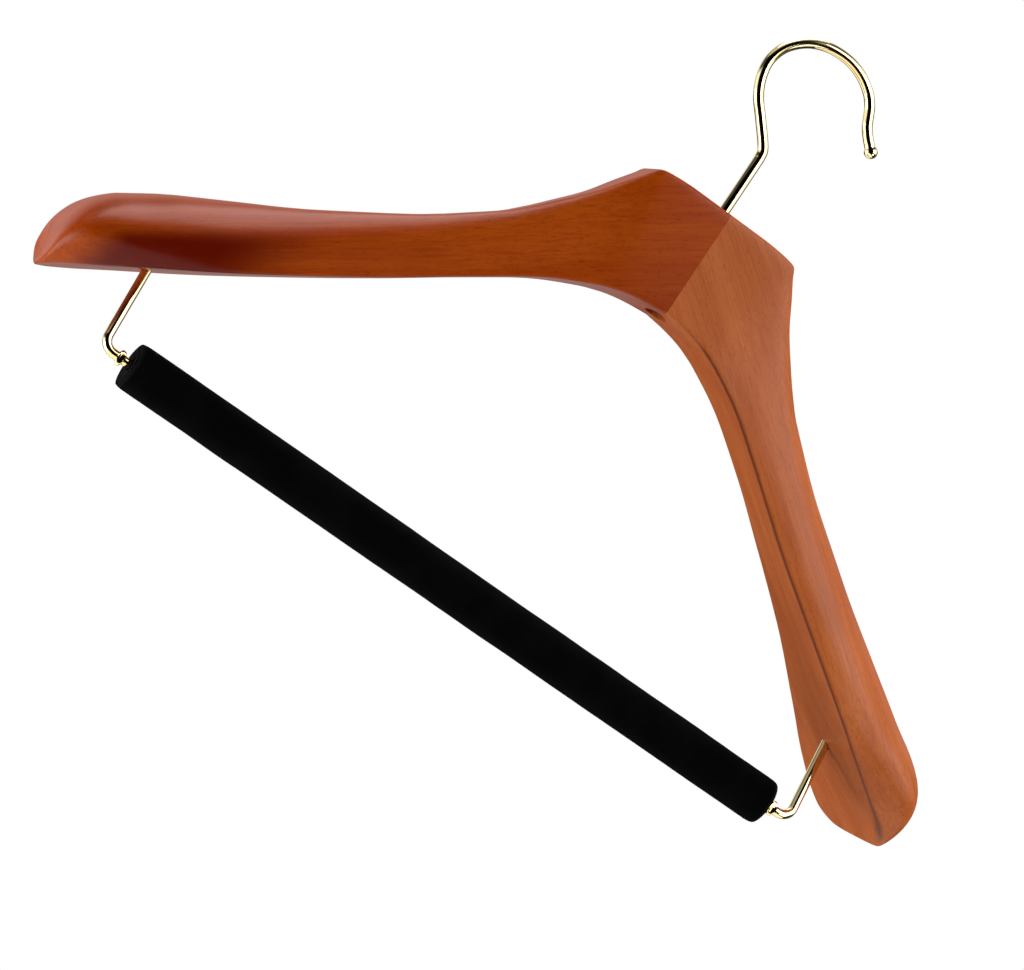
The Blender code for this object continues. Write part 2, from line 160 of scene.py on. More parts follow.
# Fineness of the modelled surfaces
RINGS_PER_STATION = 8
SECTION_STEPS = 240
TOP_POINTS = 96
ROUND_POINTS = 6
UNDER_POINTS = 16
TIP_RINGS = 5
BORE_SIDES = 64
WIRE_SIDES = 24
CURVE_STEPS = 12
BALL_STEPS = 16
BEND_STEPS = 20
STOP_RINGS = 25
FOAM_SIDES = 120
FOAM_RINGS = 120
FOAM_END_RINGS = 6
FLOOR_SIDES = 96
# How much a line's turns draw its points together, against its length
TURN_WEIGHT = 0.8

# One row for each station from the seam to the tip, as shares of the sizes above: along
# and drop place the front lower edge, depth goes from the neck's thickness to the flare's,
# sweep is the way back, neck is how far the section belongs to the neck's block, top, height
# and lead place the crest, lean moves it back across the depth, and skew draws the back
# edge toward the neck by a share of the depth
RAIL_SHARES = (
    # along   drop    depth   sweep   neck    top     height  lead    lean    skew
    (0.000, 0.000, 0.000, 0.000, 1.000, 0.000, 1.000, 0.300, 0.000, 0.000),
    (0.045, 0.008, 0.007, 0.003, 1.000, 0.500, 1.000, 0.300, 0.000, 0.000),
    (0.085, 0.021, 0.012, 0.008, 0.961, 0.900, 1.000, 0.300, 0.000, 0.000),
    (0.111, 0.035, 0.017, 0.016, 0.915, 1.020, 1.000, 0.300, 0.000, 0.000),
    (0.129, 0.046, 0.019, 0.023, 0.800, 1.000, 1.000, 0.580, 0.010, 0.000),
    (0.152, 0.064, 0.017, 0.033, 0.604, 1.000, 1.000, 0.640, 0.030, 0.000),
    (0.187, 0.093, 0.009, 0.047, 0.361, 1.000, 1.000, 0.468, 0.060, 0.000),
    (0.224, 0.128, 0.000, 0.061, 0.167, 1.000, 1.000, 0.366, 0.090, 0.000),
    (0.335, 0.259, -0.017, 0.102, 0.000, 1.000, 0.965, 0.170, 0.135, 0.000),
    (0.447, 0.397, 0.049, 0.166, 0.000, 1.000, 0.882, 0.235, 0.110, 0.000),
    (0.581, 0.553, 0.252, 0.264, 0.000, 1.000, 0.875, 0.300, 0.100, 0.000),
    (0.714, 0.701, 0.610, 0.448, 0.000, 1.000, 0.941, 0.325, 0.080, 0.000),
    (0.826, 0.817, 0.884, 0.705, 0.000, 1.000, 0.995, 0.292, 0.000, 0.000),
    (0.889, 0.881, 0.983, 0.856, 0.000, 1.000, 0.990, 0.270, -0.045, 0.000),
    (0.930, 0.921, 1.000, 0.935, 0.000, 1.000, 0.895, 0.262, -0.085, 0.000),
    (0.959, 0.951, 0.935, 0.983, 0.000, 1.000, 0.728, 0.225, -0.110, 0.040),
    (0.976, 0.973, 0.836, 1.000, 0.000, 1.000, 0.512, 0.150, -0.125, 0.110),
    (0.986, 0.986, 0.690, 0.998, 0.000, 1.000, 0.298, 0.060, -0.110, 0.165),
    (0.989, 0.993, 0.470, 0.985, 0.000, 1.000, 0.140, 0.030, -0.075, 0.220),
)

# The section at the same stations: how square its front and back shoulders are, as powers,
# and how far its front, its back and its end swell out
SECTION_SHARES = (
    # front   back    front   back    end
    (22.0, 26.0, 0.000, 0.000, 0.000),
    (22.0, 26.0, 0.000, 0.000, 0.000),
    (22.0, 26.0, 0.000, 0.000, 0.000),
    (22.0, 26.0, 0.000, 0.000, 0.000),
    (15.0, 20.0, 0.000, 0.000, 0.000),
    (11.0, 15.0, 0.000, 0.000, 0.000),
    (8.5, 11.0, 0.005, 0.004, 0.000),
    (6.4, 9.0, 0.020, 0.017, 0.000),
    (4.6, 7.0, 0.050, 0.034, 0.000),
    (3.1, 5.5, 0.065, 0.046, 0.000),
    (2.4, 4.5, 0.072, 0.045, 0.000),
    (2.2, 3.7, 0.087, 0.042, 0.000),
    (2.2, 3.2, 0.110, 0.045, 0.000),
    (2.4, 3.0, 0.145, 0.050, 0.020),
    (2.6, 3.0, 0.145, 0.050, 0.080),
    (2.9, 3.0, 0.105, 0.045, 0.070),
    (3.3, 3.0, 0.060, 0.038, 0.025),
    (3.6, 3.0, 0.030, 0.026, 0.000),
    (3.6, 3.0, 0.010, 0.010, 0.000),
)
# The crest is level where the section comes within this share of its height
CREST_LEVEL_SHARE = 0.997
# A bar wire's seat across the underside, from its front edge
WIRE_SEAT_SHARE = 0.48
# How much the back edge rises for its way toward the neck
END_SLOPE_SHARE = 0.75
# What sets the left end, -1, and the right end, 1, apart: the share of the skew that it
# gets, its reach past the table and the extra rounding of its back ridge. The reach grows
# over END_REACH_SHARES of the half width
END_TRIM = {-1: (0.8, -3.0 * MM, 5.5 * MM), 1: (0.5, 2.7 * MM, 1.0 * MM)}
END_REACH_SHARES = (0.80, 0.99)

# The hook's centre line past its bend, as shares of the hook's size from the bend
HOOK_SHARES = (
    (-0.055, 0.070),
    (-0.380, 0.450),
    (-0.617, 0.720),
    (-0.763, 1.010),
    (-0.810, 1.342),
    (-0.695, 1.675),
    (-0.420, 1.955),
    (-0.070, 2.110),
    (0.320, 2.147),
    (0.665, 2.070),
    (0.945, 1.910),
    (1.105, 1.742),
    (1.185, 1.600),
    (1.272, 1.433),
    (1.395, 1.285),
    (1.524, 1.165),
)
HOOK_SEAT_SHARE = 2.117
STEM_EASE_SHARE = 0.12

NECK_TOP = -(STEM_HEIGHT + HOOK_SIZE * HOOK_SEAT_SHARE - HOOK_WIRE / 2)
WIRE_X = HALF_WIDTH - WIRE_INSET
BAR_HALF = WIRE_X - BAR_END_GAP

# The photograph's camera
CAMERA_PLACE = (-530.86 * MM, -1754.76 * MM, -367.91 * MM)
CAMERA_RIGHT = (0.78457852, -0.28010044, 0.55315486)
CAMERA_UP = (-0.5514651, 0.09255298, 0.82904776)
CAMERA_LENS = 161.03

# The floor under the hanger
FLOOR_RADIUS = 1.2
FLOOR_LEVEL = -1.10
FLOOR_GREY = "#C4C4C4"
FLOOR_GLOW = 0.75

# The studio's greys, the white boxes' level, and how strongly it all lights the hanger and
# shows in the gloss
SURROUND_GREY = "#545454"
CAMERA_SIDE_GREY = "#050505"
CEILING_GREY = "#DCDCDC"
GROUND_GREY = "#383838"
PANEL_GREY = "#E8E8E8"
BOX_LEVEL = 1.3
STUDIO_LIGHT = 0.9
STUDIO_SHINE = 1.0

# Where the studio's parts fade in and out, in degrees: rise is above the camera's level and
# turn is to either side of the way to the camera
CAMERA_SIDE_TURN = (30, 60)
BOX_RISE = (22, 32)
BOX_NEAR_TURN = (38, 52)
BOX_FAR_TURN = (104, 122)
PANEL_LOW_RISE = (0, 10)
PANEL_HIGH_RISE = (34, 46)
PANEL_WIDE_TURN = (112, 132)
PANEL_STRAIGHT_TURN = (164, 176)
CEILING_RISE = (46, 60)
GROUND_RISE = (-50, -20)

# Each lamp's name, place, aim, size and watts
LAMPS = (
    ("key", (1.5, -1.7, 1.3), (0.0, 0.0, -0.15), (2.2, 2.2), 52.0),
    ("overhead", (-0.60, 0.50, 1.25), (0.0, 0.0, -0.15), (1.6, 0.9), 20.0),
    ("low_right", (0.66, -0.60, -0.36), (0.2, 0.0, -0.2), (0.4, 0.4), 1.2),
    ("low_left", (-0.85, -0.05, -0.85), (0.0, 0.0, -0.15), (0.7, 0.7), 9.0),
)


def only(obj):
    """Leaves one object selected and active."""
    bpy.ops.object.select_all(action="DESELECT")
    obj.select_set(True)
    bpy.context.view_layer.objects.active = obj


def named(name):
    """Names the object that an operator has just added, and its mesh."""
    made = bpy.context.object
    made.name = name
    made.data.name = name
    return made


def settle(obj):
    """Puts an object's place, turn and size into its mesh."""
    only(obj)
    bpy.ops.object.transform_apply(location=True, rotation=True, scale=True)
    return obj


def smooth(obj, degrees=40):
    only(obj)
    bpy.ops.object.shade_smooth_by_angle(angle=math.radians(degrees))


def cut_away(obj, tool):
    """Cuts the tool's shape out of an object and deletes the tool."""
    only(obj)
    step = obj.modifiers.new("cut", "BOOLEAN")
    step.operation = "DIFFERENCE"
    step.solver = "EXACT"
    step.object = tool
    bpy.ops.object.modifier_apply(modifier=step.name)
    bpy.data.objects.remove(tool, do_unlink=True)


def along_curve(rows, slopes, per_row):
    """Rows between the given ones on a smooth curve with the given slopes."""
    made = []
    for index in range(len(rows) - 1):
        for part in range(per_row):
            t = part / per_row
            first = rows[index] * (1 + 2 * t) * (1 - t) ** 2
            second = rows[index + 1] * t * t * (3 - 2 * t)
            turn = slopes[index] * t * (1 - t) ** 2 - slopes[index + 1] * t * t * (1 - t)
            made.append(first + second + turn)
    made.append(rows[-1])
    return np.array(made)


def steady_slopes(rows):
    """Slopes at the given rows that keep a curve from swinging past them."""
    steps = np.diff(rows, axis=0)
    slopes = np.zeros_like(rows)
    before = steps[:-1]
    after = steps[1:]
    same_way = before * after > 0
    total = np.where(same_way, before + after, 1.0)
    slopes[1:-1] = np.where(same_way, 2 * before * after / total, 0.0)
    slopes[0] = steps[0]
    slopes[-1] = steps[-1]
    return slopes


def lower_edge(row):
    """Front end, back end and depth of the flat underside at one station."""
    along, drop, depth_share, sweep = row[:4]
    skew = row[9]
    depth = NECK_THICKNESS + (FLARE_DEPTH - NECK_THICKNESS) * depth_share
    fall = depth * math.tan(UNDERSIDE_TILT)
    x = HALF_WIDTH * along
    y = SHOULDER_SWEEP * sweep
    z = NECK_TOP - NECK_HEIGHT - EDGE_DROP * drop
    front = np.array((x, y - depth / 2, z))
    slip = depth * skew
    back = np.array((x - slip, y + depth / 2, z - fall + slip * END_SLOPE_SHARE))
    return front, back, depth


def section(row):
    """The arm's outline at one station, over the top from its front to its back edge."""
    front, back, depth = lower_edge(row)
    neck, top, height, lead, lean = row[4:9]
    arm_x = (front[0] + back[0]) / 2 + ARM_HEIGHT * lead
    arm = np.array((arm_x, 0.0, front[2] + ARM_HEIGHT * height))
    block = np.array((top * NECK_TOP_WIDTH / 2, 0.0, NECK_TOP))
    crest = neck * block + (1 - neck) * arm
    crest[1] = (front[1] + back[1]) / 2 + depth * lean
    front_square, back_square, front_swell, back_swell, end_swell = row[10:15]
    angle = np.linspace(0, math.pi, SECTION_STEPS + 1)
    cosine = np.cos(angle)
    square = np.where(cosine > 0, front_square, back_square)
    swell = np.where(cosine > 0, -front_swell, back_swell) * depth
    rise = np.minimum(np.abs(np.sin(angle)) ** (2 / square) / CREST_LEVEL_SHARE, 1.0)
    # The sine of a half turn isn't quite zero, and its high root would lift the back edge
    rise[-1] = 0.0
    reach = -np.sign(cosine) * np.abs(cosine) ** (2 / square)
    belly = 4 * rise * (1 - rise)
    middle = (front + back) / 2
    across = (back - front) / 2
    way_back = across / np.linalg.norm(across)
    ring = middle + np.outer(reach, across) + np.outer(rise, crest - middle)
    ring += np.outer(belly * swell, way_back)
    ring[:, 0] += belly * end_swell * ARM_HEIGHT
    ring[:, 2] -= reach * across[2] * neck * rise
    return ring


def even_points(line, count):
    """The line again with count points, closer together where it turns."""
    steps = np.diff(line, axis=0)
    lengths = np.linalg.norm(steps, axis=1)
    keep = np.append(True, lengths > 1e-9)
    line = line[keep]
    steps = np.diff(line, axis=0)
    lengths = np.linalg.norm(steps, axis=1)
    ways = steps / lengths[:, None]
    turns = np.append(0.0, np.linalg.norm(np.diff(ways, axis=0), axis=1))
    spread = lengths / lengths.sum() + TURN_WEIGHT * turns / max(turns.sum(), 1e-9)
    place = np.append(0.0, np.cumsum(spread))
    wanted = np.linspace(0.0, place[-1], count)
    return np.stack([np.interp(wanted, place, line[:, axis]) for axis in range(3)], axis=1)


def cut_back(line, distance):
    """A line without its first stretch of the given length."""
    lengths = np.linalg.norm(np.diff(line, axis=0), axis=1)
    place = np.append(0.0, np.cumsum(lengths))
    start = [np.interp(distance, place, line[:, axis]) for axis in range(3)]
    return np.vstack((start, line[place > distance]))


def rounded_corner(before, corner, after):
    """A curve that takes the sharp corner off between two points beside it."""
    t = np.linspace(0, 1, ROUND_POINTS + 1)[:-1, None]
    return (1 - t) ** 2 * before + 2 * t * (1 - t) * corner + t * t * after


def arm_ring(row, back_round):
    """The closed ring of points round the arm at one station, its ridges rounded.

    The back ridge is rounder by up to back_round toward the tip.
    """
    over = section(row)
    front, back = over[0], over[-1]
    width = np.linalg.norm(back - front)
    size = min(RIDGE_ROUND, width / 4)
    rounder = float(np.interp(row[0], BACK_ROUND_SHARES, (0.0, 1.0)))
    back_size = min(RIDGE_ROUND + back_round * rounder, width / 4)
    inward = (back - front) / width
    trimmed = cut_back(cut_back(over, size)[::-1], back_size)[::-1]
    over_top = even_points(trimmed, TOP_POINTS)
    near = front + inward * size
    far = back - inward * back_size
    share = np.linspace(0, 1, UNDER_POINTS + 1)[:-1, None]
    under = far + (near - far) * share
    first = rounded_corner(near, front, over_top[0])
    last = rounded_corner(over_top[-1], back, far)
    return np.vstack((first, over_top[:-1], last, under))


def ease_corners(rings, along):
    """Sands the arm's turns round along its length, most of all away from its ridges."""
    at_neck = np.interp(along, NECK_EASE_SHARES, (0.0, 1.0, 1.0, 0.0)) * NECK_EASE_TURNS
    at_tip = np.interp(along, TIP_EASE_SHARES, (0.0, 1.0)) * TIP_EASE_TURNS
    spot = np.arange(rings.shape[1])
    from_ridge = np.minimum(spot - ROUND_POINTS, TOP_POINTS + ROUND_POINTS - spot)
    at_end = np.interp(along, TIP_LOOSE_SHARES, (0.0, 1.0))[1:, None]
    free = np.maximum(np.clip(from_ridge / EASE_SPOTS, 0.0, 1.0), at_end)
    hold = RIDGE_HOLD + (1 - RIDGE_HOLD) * free
    turns = (np.maximum(at_neck, at_tip)[1:, None] * hold)[:, :, None]
    for turn in range(max(NECK_EASE_TURNS, TIP_EASE_TURNS)):
        here = rings[1:]
        after = np.concatenate((rings[2:], 2 * rings[-1:] - rings[-2:-1]))
        beside = rings[:-1] + after - 2 * here
        around = np.roll(here, 1, axis=1) + np.roll(here, -1, axis=1) - 2 * here
        step = beside + around * free[:, :, None]
        rings[1:] = here + np.where(turns > turn, step / EASE_STEP, 0.0)
    return list(rings)


def arm_rings(side):
    """All rings of an arm, from the seam to the rounded tip, placed as on the right side."""
    rows = np.hstack((RAIL_SHARES, SECTION_SHARES))
    skew_share, reach, back_round = END_TRIM[side]
    rows[:, 9] *= skew_share
    rows[:, 0] += np.interp(rows[:, 0], END_REACH_SHARES, (0.0, 1.0)) * reach / HALF_WIDTH
    stations = along_curve(rows, steady_slopes(rows), RINGS_PER_STATION)
    carved = np.array([arm_ring(row, back_round) for row in stations])
    rings = ease_corners(carved, stations[:, 0])
    rings[0][:, 0] = SEAM_CLEAR
    last = rings[-1]
    middle = last.mean(axis=0)
    outward = np.cross(last[len(last) // 3] - last[0], last[2 * len(last) // 3] - last[0])
    outward /= np.linalg.norm(outward)
    outward *= math.copysign(1.0, outward[0])
    for step in range(1, TIP_RINGS + 1):
        angle = math.pi / 2 * step / (TIP_RINGS + TIP_SHORT)
        ring = middle + (last - middle) * math.cos(angle)
        rings.append(ring + outward * TIP_ROUND * math.sin(angle))
    return rings


def wire_seat():
    """Where a bar wire's axis meets the right arm's underside."""
    rows = np.hstack((RAIL_SHARES, SECTION_SHARES))
    across = []
    for row in along_curve(rows, steady_slopes(rows), RINGS_PER_STATION):
        front, back, _ = lower_edge(row)
        across.append(front + (back - front) * WIRE_SEAT_SHARE)
    across = np.array(across)
    return np.array([np.interp(WIRE_X, across[:, 0], across[:, axis]) for axis in range(3)])


def bore(radius, foot, head, place=(0.0, 0.0, 0.0), lean=0.0):
    """A round cutter from foot to head along a line that leans back by the given angle."""
    centre = Vector(place) + Matrix.Rotation(-lean, 3, "X") @ Vector((0, 0, (foot + head) / 2))
    bpy.ops.object.select_all(action="DESELECT")
    bpy.ops.mesh.primitive_cylinder_add(
        vertices=BORE_SIDES, radius=radius, depth=head - foot, location=centre,
        rotation=(-lean, 0.0, 0.0),
    )
    return settle(bpy.context.object)


def carve_arm(name, side, node):
    """One carved half: a round bar cut into rings, each ring moved to its section.

    The point attribute that places a painted shade line on the front ridge is 1 in the middle of
    the ridge's rounding.
    """
    rings = arm_rings(side)
    around = len(rings[0])
    bpy.ops.object.select_all(action="DESELECT")
    bpy.ops.mesh.primitive_cylinder_add(
        vertices=around, radius=1.0, depth=1.0, location=(0, 0, 0), end_fill_type="NGON"
    )
    arm = named(name)
    bpy.ops.object.mode_set(mode="EDIT")
    bpy.ops.mesh.select_mode(type="EDGE")
    bpy.ops.mesh.select_all(action="DESELECT")
    bpy.ops.object.mode_set(mode="OBJECT")
    for edge in arm.data.edges:
        low, high = (arm.data.vertices[index].co.z for index in edge.vertices)
        edge.select = abs(low - high) > 0.5
    bpy.ops.object.mode_set(mode="EDIT")
    bpy.ops.mesh.subdivide(number_cuts=len(rings) - 2)
    bpy.ops.object.mode_set(mode="OBJECT")
    ridge_shade = arm.data.attributes.new("ridge_shade", "FLOAT", "POINT")
    for vertex in arm.data.vertices:
        turn = math.atan2(vertex.co.y, vertex.co.x) / math.tau * around
        level = (vertex.co.z + 0.5) * (len(rings) - 1)
        spot = round(turn) % around
        point = rings[round(level)][spot]
        off_edge = abs(spot - ROUND_POINTS / 2) / (ROUND_POINTS / 2 + 1)
        way = level / (len(rings) - 1)
        strength = np.interp(way, RIDGE_SHADE_SHARES, (0.0, 1.0, 1.0, 0.0))
        ridge_shade.data[vertex.index].value = max(1.0 - off_edge, 0.0) * strength
        vertex.co = (side * point[0], point[1], point[2])
    bpy.ops.object.mode_set(mode="EDIT")
    bpy.ops.mesh.select_all(action="SELECT")
    bpy.ops.mesh.normals_make_consistent(inside=False)
    bpy.ops.object.mode_set(mode="OBJECT")
    below = NECK_TOP - NECK_HEIGHT - NECK_THICKNESS
    floor_fall = NECK_THICKNESS / 2 * math.tan(UNDERSIDE_TILT)
    floor = NECK_TOP - NECK_HEIGHT - floor_fall + COUNTERBORE_DEPTH
    cut_away(arm, bore(HOOK_WIRE / 2 + GAP, below, NECK_TOP + COUNTERBORE_DEPTH))
    cut_away(arm, bore(COUNTERBORE_DIAMETER / 2, below, floor))
    seat = wire_seat() * (side, 1, 1)
    cut_away(arm, bore(BAR_WIRE / 2 + GAP, -WIRE_BEND, WIRE_DEPTH, seat, WIRE_LEAN))
    smooth(arm, 32)
    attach(arm, "hanger")
    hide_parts(node)
    return arm


def wire_piece(name, points, radius, scales=None):
    """A round wire: a path with a bevel, made a mesh."""
    bpy.ops.object.select_all(action="DESELECT")
    bpy.ops.curve.primitive_nurbs_path_add(location=(0, 0, 0))
    wire = named(name)
    wire.data.splines.clear()
    line = wire.data.splines.new("POLY")
    line.points.add(len(points) - 1)
    for index, point in enumerate(points):
        line.points[index].co = (*point, 1.0)
        line.points[index].radius = scales[index] if scales else 1.0
    wire.data.bevel_depth = radius
    wire.data.bevel_resolution = WIRE_SIDES // 2 - 2
    wire.data.use_fill_caps = True
    only(wire)
    bpy.ops.object.convert(target="MESH")
    wire = named(name)
    bpy.ops.object.mode_set(mode="EDIT")
    bpy.ops.mesh.select_all(action="SELECT")
    bpy.ops.mesh.remove_doubles(threshold=SAME_PLACE)
    bpy.ops.mesh.normals_make_consistent(inside=False)
    bpy.ops.object.mode_set(mode="OBJECT")
    smooth(wire, 50)
    return wire


def bend_hook():
    """The hook: peened foot, stem, bend, the big curve and the ball at its tip."""
    bend_z = NECK_TOP + STEM_HEIGHT
    rows = [(0.0, bend_z - STEM_EASE_SHARE * HOOK_SIZE)]
    rows += [(HOOK_SIZE * x, bend_z + HOOK_SIZE * z) for x, z in HOOK_SHARES]
    rows = np.array(rows)
    curve = along_curve(rows, np.gradient(rows, axis=0), CURVE_STEPS)
    collar_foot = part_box("hook_collar")[0].z
    collar_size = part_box("hook_collar")[1].x
    head_top = collar_foot - GAP
    foot = head_top - HEAD_THICKNESS
    head_scale = collar_size * HEAD_SHARE / (HOOK_WIRE / 2)
    levels = (foot, foot + HEAD_THICKNESS / 3, head_top, collar_foot, NECK_TOP)
    points = [(0, 0, level) for level in levels]
    scales = [head_scale * HEAD_RIM_SHARE, head_scale, head_scale, 1.0, 1.0]
    points += [(x, 0.0, z) for x, z in curve[:-1]]
    scales += [1.0] * (len(curve) - 1)
    end = np.array((curve[-1][0], 0.0, curve[-1][1]))
    way = end - np.array((curve[-2][0], 0.0, curve[-2][1]))
    way /= np.linalg.norm(way)
    radius = BALL_DIAMETER / 2
    neck_angle = math.asin(HOOK_WIRE / BALL_DIAMETER)
    for step in range(BALL_STEPS + 1):
        angle = neck_angle + (math.pi - neck_angle) * step / BALL_STEPS
        centre = end + way * radius * (math.cos(neck_angle) - math.cos(angle))
        points.append(tuple(centre))
        scales.append(max(math.sin(angle), BALL_TIP_SHARE) * radius / (HOOK_WIRE / 2))
    hook = wire_piece("brass_hook", points, HOOK_WIRE / 2, scales)
    peened = hook.data.attributes.new("peened", "FLOAT", "POINT")
    for vertex in hook.data.vertices:
        peened.data[vertex.index].value = 1.0 if vertex.co.z < collar_foot - GAP / 2 else 0.0
    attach(hook, "hook")
    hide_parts("hook")
    return hook


def bend_bar_wire(name, side, node):
    """One bar wire: out of the arm, down its leg, round a bend and level into the bar."""
    seat = wire_seat()
    bar_y = seat[1] - WIRE_LEG * math.sin(WIRE_LEAN)
    bar_z = seat[2] - WIRE_LEG * math.cos(WIRE_LEAN)
    up = np.array((0.0, math.sin(WIRE_LEAN), math.cos(WIRE_LEAN)))
    inward = np.array((-1.0, 0.0, 0.0))
    corner = np.array((WIRE_X, bar_y, bar_z))
    centre = corner + (up + inward) * WIRE_BEND
    points = [seat + up * WIRE_DEPTH, seat]
    for step in range(BEND_STEPS + 1):
        angle = math.pi / 2 * step / BEND_STEPS
        spoke = inward * math.cos(angle) + up * math.sin(angle)
        points.append(centre - spoke * WIRE_BEND)
    stop_x = BAR_HALF + STOP_SETBACK
    for step in range(STOP_RINGS):
        offset = STOP_LENGTH * (1 - 2 * step / (STOP_RINGS - 1))
        points.append(np.array((stop_x + offset, bar_y, bar_z)))
    points.append(np.array((BAR_HALF - WIRE_PIN, bar_y, bar_z)))
    path = [(side * p[0], p[1], p[2]) for p in points]
    wire = wire_piece(name, path, BAR_WIRE / 2)
    for vertex in wire.data.vertices:
        away = abs(vertex.co.x - side * stop_x) / (STOP_LENGTH / 2)
        if away < 1 and vertex.co.z < bar_z + WIRE_BEND:
            press = 0.5 + 0.5 * math.cos(math.pi * away ** STOP_FLATNESS)
            thin = 1 + (STOP_THICKNESS / BAR_WIRE - 1) * press
            wide = 1 + (STOP_WIDTH / BAR_WIRE - 1) * press
            vertex.co.y = bar_y + (vertex.co.y - bar_y) * thin
            vertex.co.z = bar_z + (vertex.co.z - bar_z) * wide
    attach(wire, "hanger")
    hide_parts(node)
    return wire


def ragged(x, y, z, grain, depth):
    """A small uneven height for torn foam at a place."""
    return depth * noise.noise(Vector((x, y, z)) / grain)


def foam_sleeve():
    """The foam tube: a long cylinder, bored, cut into rings and torn at its ends."""
    low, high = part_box("bar_sleeve")
    axis_y = (low.y + high.y) / 2
    axis_z = (low.z + high.z) / 2
    outer = (high.z - low.z) / 2
    inner = CORE_DIAMETER / 2 + GAP
    half = high.x
    bpy.ops.object.select_all(action="DESELECT")
    bpy.ops.mesh.primitive_cylinder_add(
        vertices=FOAM_SIDES, radius=outer, depth=2 * half, location=(0, axis_y, axis_z),
        rotation=(0, math.pi / 2, 0), end_fill_type="NGON",
    )
    sleeve = settle(named("foam_tube"))
    bpy.ops.object.mode_set(mode="EDIT")
    bpy.ops.mesh.select_mode(type="FACE")
    bpy.ops.mesh.select_all(action="DESELECT")
    bpy.ops.object.mode_set(mode="OBJECT")
    for face in sleeve.data.polygons:
        face.select = len(face.vertices) > 4
    bpy.ops.object.mode_set(mode="EDIT")
    bpy.ops.mesh.inset(thickness=FOAM_RIM)
    for _ in range(FOAM_END_RINGS):
        bpy.ops.mesh.inset(thickness=(outer - FOAM_RIM - inner) / FOAM_END_RINGS)
    bpy.ops.mesh.bridge_edge_loops()
    bpy.ops.mesh.select_mode(type="EDGE")
    bpy.ops.mesh.select_all(action="DESELECT")
    bpy.ops.object.mode_set(mode="OBJECT")
    for edge in sleeve.data.edges:
        first, second = (sleeve.data.vertices[index].co.x for index in edge.vertices)
        edge.select = abs(first - second) > half
    bpy.ops.object.mode_set(mode="EDIT")
    bpy.ops.mesh.subdivide(number_cuts=FOAM_RINGS - 1)
    bpy.ops.mesh.select_all(action="SELECT")
    bpy.ops.mesh.normals_make_consistent(inside=False)
    bpy.ops.object.mode_set(mode="OBJECT")
    for vertex in sleeve.data.vertices:
        x, y, z = vertex.co
        share = x / half
        eased = math.copysign(1 - (1 - abs(share)) ** FOAM_RING_CURVE, share) if share else 0.0
        x = eased * half
        dy, dz = y - axis_y, z - axis_z
        radius = math.hypot(dy, dz)
        scale = 1.0
        end = half - abs(x)
        if radius > outer - NEAR_SKIN:
            swell = sum(ragged(x, dy, dz, length, depth) for length, depth in FOAM_SWELLS)
            worn = math.exp(-end / RIM_WORN_LENGTH) * RIM_WORN_DEPTH
            scale = (radius + swell - worn) / radius
            dy *= scale
            dz *= scale
        if end < SAME_PLACE:
            depth = max((radius - inner) / (outer - inner), 0.0)
            torn = sum(ragged(start + x, dy, dz, *size) for start, *size in FOAM_TEARS)
            share_left = CORE_TEAR_SHARE + (1 - CORE_TEAR_SHARE) * depth
            x -= math.copysign(END_CUT_BACK + abs(torn) * share_left, x)
            scale = (LIP_RADIUS + depth * (radius * scale - LIP_RADIUS)) / radius / scale
            dy *= scale
            dz *= scale
        vertex.co = (x, axis_y + dy, axis_z + dz)
    cut = sleeve.data.attributes.new("cut", "FLOAT", "POINT")
    for vertex in sleeve.data.vertices:
        cut.data[vertex.index].value = 1.0 if abs(vertex.co.x) > half - CUT_LENGTH else 0.0
    smooth(sleeve, 55)
    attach(sleeve, "trouser_bar")
    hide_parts("bar_sleeve")
    return sleeve


def linear(hex_colour):
    """A shader colour from an sRGB hex value."""
    parts = [int(hex_colour[i : i + 2], 16) / 255 for i in (1, 3, 5)]
    return [p / 12.92 if p <= 0.04045 else ((p + 0.055) / 1.055) ** 2.4 for p in parts] + [1.0]


def add(tree, kind, settings=None, **inputs):
    """Adds a node with its settings; an input is a value or another node's output."""
    node = tree.nodes.new(kind)
    for key, value in (settings or {}).items():
        setattr(node, key, value)
    for key, value in inputs.items():
        socket = node.inputs[int(key[1:]) if key[1:].isdigit() else key.replace("_", " ")]
        if isinstance(value, bpy.types.NodeSocket):
            tree.links.new(value, socket)
        else:
            socket.default_value = value
    return node


def new_material(name):
    made = bpy.data.materials.new(name)
    made.use_nodes = True
    tree = made.node_tree
    tree.nodes.clear()
    shader = add(tree, "ShaderNodeBsdfPrincipled")
    end = add(tree, "ShaderNodeOutputMaterial")
    tree.links.new(shader.outputs["BSDF"], end.inputs["Surface"])
    return made, tree, shader


def give(obj, finish):
    obj.data.materials.clear()
    obj.data.materials.append(finish)


def grain_noise(tree, place, along, across, detail=2.0, rough=0.5):
    """Noise stretched along the grain: its length and width in metres."""
    scale = (1 / along, 1 / across, 1 / across)
    stretched = add(tree, "ShaderNodeMapping", None, Vector=place, Scale=scale)
    made = add(
        tree, "ShaderNodeTexNoise", None, Vector=stretched.outputs[0], Scale=1.0,
        Detail=detail, Roughness=rough,
    )
    return made.outputs[0]


def spread(tree, value, low, high, to_low=0.0, to_high=1.0):
    made = add(
        tree, "ShaderNodeMapRange", {"interpolation_type": "SMOOTHSTEP"}, Value=value,
        From_Min=low, From_Max=high, To_Min=to_low, To_Max=to_high,
    )
    return made.outputs[0]


def blend_colour(tree, share, first, second, kind="MIX"):
    made = add(
        tree, "ShaderNodeMix", {"data_type": "RGBA", "blend_type": kind},
        _0=share, _6=first, _7=second,
    )
    return made.outputs[2]


